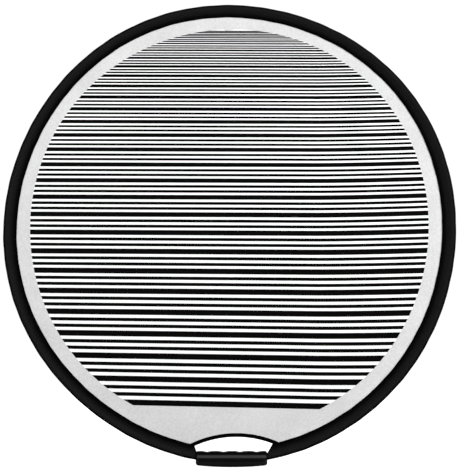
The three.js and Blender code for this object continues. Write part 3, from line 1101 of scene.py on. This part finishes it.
def grip_shell(name, section):
    """A shell drawn through sections along the grip, drawn in at both rounded ends."""
    length = GRIP_HIGH.x - GRIP_LOW.x - 2 * GRIP_END_GAP
    near_ends = GRIP_END_ROUND * (1 - np.cos(np.radians(np.linspace(0, 90, 9))))
    between = np.arange(GRIP_END_ROUND + 0.5 * MM, length - GRIP_END_ROUND, GRIP_STEP)
    places = sorted([*near_ends, *between, *(length - near_ends)])
    rings, uvs = [], []
    for place in places:
        to_end = min(place, length - place)
        short = max(GRIP_END_ROUND - to_end, 0)
        inset = GRIP_END_ROUND - math.sqrt(GRIP_END_ROUND ** 2 - short ** 2)
        border = 1 - float(smoothstep((to_end - GRIP_BORDER) / GRIP_BORDER_EDGE))
        x = GRIP_LOW.x + GRIP_END_GAP + place
        rings.append([(x, y, z) for y, z in section(x, inset, border)])
        uvs.append([(to_end, z) for _, _, z in rings[-1]])
    shape = Shape()
    shape.add(np.array(rings), loft_faces(len(rings), len(rings[0])), 0, np.array(uvs))
    return shape.build(name, [PLASTIC])


def cylinder(name, centre, radius, from_y, to_y, material):
    """A disc or pin along Y with slightly rounded edges."""
    edge = min(0.25 * MM, radius / 4)
    stations = [(from_y, radius - edge), (from_y + edge, radius), (to_y - edge, radius),
                (to_y, radius - edge)]
    turn = np.linspace(0, 2 * np.pi, DISC_SEGMENTS, endpoint=False)
    rings = [[(centre.x + r * math.cos(t), y, centre.z + r * math.sin(t)) for t in turn]
             for y, r in stations]
    shape = Shape()
    shape.add(np.array(rings), loft_faces(len(rings), DISC_SEGMENTS))
    return shape.build(name, [material])


def cut(obj, cutter):
    """Cuts one piece out of another and removes the cutter."""
    modifier = obj.modifiers.new("cut", "BOOLEAN")
    modifier.object = cutter
    modifier.operation = "DIFFERENCE"
    modifier.solver = "EXACT"
    bpy.context.view_layer.update()
    result = bpy.data.meshes.new_from_object(
        obj.evaluated_get(bpy.context.evaluated_depsgraph_get()))
    obj.modifiers.remove(modifier)
    obj.data = result
    bpy.data.objects.remove(cutter)


def make_screw(side, shell):
    """A countersunk screw in the back shell, with a cross slot."""
    low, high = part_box(f"screw_{side}")
    centre = (low + high) / 2
    head_radius = (high.x - low.x) / 2
    seat = high.y - SCREW_HEAD_HEIGHT
    bore_radius = head_radius + BORE_CLEARANCE
    cut(shell, cylinder("bore", centre, bore_radius, seat, high.y + 5 * MM, PLASTIC))
    head = cylinder(f"screw_head_{side}", centre, head_radius, seat + 0.1 * MM, high.y,
                    SCREW_STEEL)
    for turn in SCREW_SLOT_TURNS:
        cut(head, slot_cutter(centre, head_radius, high.y, math.radians(turn)))
    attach(head, "grip")
    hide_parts(f"screw_{side}")


def slot_cutter(centre, radius, top_y, turn):
    """A block that cuts one arm of the cross slot."""
    half_length = radius * SCREW_SLOT_REACH
    along = Vector((math.cos(turn), 0, math.sin(turn)))
    across = Vector((-math.sin(turn), 0, math.cos(turn)))
    rings = []
    for y in (top_y - SCREW_SLOT_DEPTH, top_y + SCREW_SLOT_DEPTH):
        middle = Vector((centre.x, y, centre.z))
        corners = [(-1, -1), (1, -1), (1, 1), (-1, 1)]
        rings.append([tuple(middle + along * half_length * a + across * SCREW_SLOT_HALF_WIDTH * b)
                      for a, b in corners])
    shape = Shape()
    shape.add(np.array(rings), loft_faces(2, 4))
    return shape.build("slot_cutter", [SCREW_STEEL])


def make_grip():
    """Both shells with their screws, and the ferrule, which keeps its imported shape."""
    front = grip_shell("grip_front", front_section)
    back = grip_shell("grip_back", back_section)
    for side in ("left", "right"):
        make_screw(side, back)
    for obj, node in ((front, "grip_shell_front"), (back, "grip_shell_back")):
        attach(obj, "grip")
        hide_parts(node)
    ferrule = frame["nodes"]["steel_ferrule"]
    ferrule.data.materials.clear()
    ferrule.data.materials.append(FERRULE_STEEL)


for hoop_side in (-1, 1):
    make_hoop_side(hoop_side)
make_opening_trim()
make_cloth("cloth_printed", "cloth_front", FRONT_CLOTH_Y, True, [PRINT_WHITE, INK, PLAIN_CLOTH])
make_cloth("cloth_lining", "cloth_back", BACK_CLOTH_Y, False, [LINING])
make_grip()


# ---- studio ----


def make_world():
    """White behind the panel, and an even grey light from all sides."""
    world = bpy.data.worlds.new("studio")
    bpy.context.scene.world = world
    world.use_nodes = True
    tree = world.node_tree
    background = tree.nodes["Background"]
    rays = tree.nodes.new("ShaderNodeLightPath")
    strength = tree.nodes.new("ShaderNodeMapRange")
    strength.inputs["To Min"].default_value = AMBIENT
    strength.inputs["To Max"].default_value = BACKDROP
    tree.links.new(rays.outputs["Is Camera Ray"], strength.inputs["Value"])
    tree.links.new(strength.outputs["Result"], background.inputs["Strength"])
    background.inputs["Color"].default_value = (1, 1, 1, 1)


def make_floor():
    """A pale floor under the grip that stays light up to the horizon."""
    corners = [(-1, -1), (1, -1), (1, 1), (-1, 1)]
    shape = Shape()
    shape.add([(a * FLOOR_REACH, b * FLOOR_REACH, FLOOR_LEVEL) for a, b in corners],
              [[0, 1, 2, 3]])
    nodes = Nodes("floor", Base_Color=(FLOOR_GREY, FLOOR_GREY, FLOOR_GREY, 1), Roughness=0.9)
    rays = nodes.node("ShaderNodeLightPath")
    glow = nodes.math("MULTIPLY", rays.outputs["Is Camera Ray"], FLOOR_GLOW)
    nodes.link(glow, nodes.shader.inputs["Emission Strength"])
    nodes.shader.inputs["Emission Color"].default_value = (1, 1, 1, 1)
    floor = shape.build("floor", [nodes.material], recalculate=False)


def make_light(name, place, size, power):
    """A square softbox that faces the panel."""
    data = bpy.data.lights.new(name, "AREA")
    data.size = size
    data.energy = power
    light = bpy.data.objects.new(name, data)
    light.location = place
    towards = Vector(LIGHT_TARGET) - Vector(place)
    light.rotation_euler = towards.to_track_quat("-Z", "Y").to_euler()
    bpy.context.scene.collection.objects.link(light)


def make_camera():
    """Square on to the printed side, from far enough away to look flat."""
    width_seen = 2 * HOOP_RADIUS * CAMERA_MARGIN
    data = bpy.data.cameras.new("camera")
    data.sensor_fit = "HORIZONTAL"
    data.lens = data.sensor_width * CAMERA_DISTANCE / width_seen
    data.clip_end = 50
    camera = bpy.data.objects.new("camera", data)
    camera.location = (CAMERA_X, -CAMERA_DISTANCE, CENTRE_Z - CAMERA_BELOW_CENTRE)
    camera.rotation_euler = (math.radians(90), 0, 0)
    bpy.context.scene.collection.objects.link(camera)
    bpy.context.scene.camera = camera


make_world()
make_floor()
for softbox in LIGHTS:
    make_light(*softbox)
make_camera()
bpy.context.scene.view_settings.view_transform = "Standard"
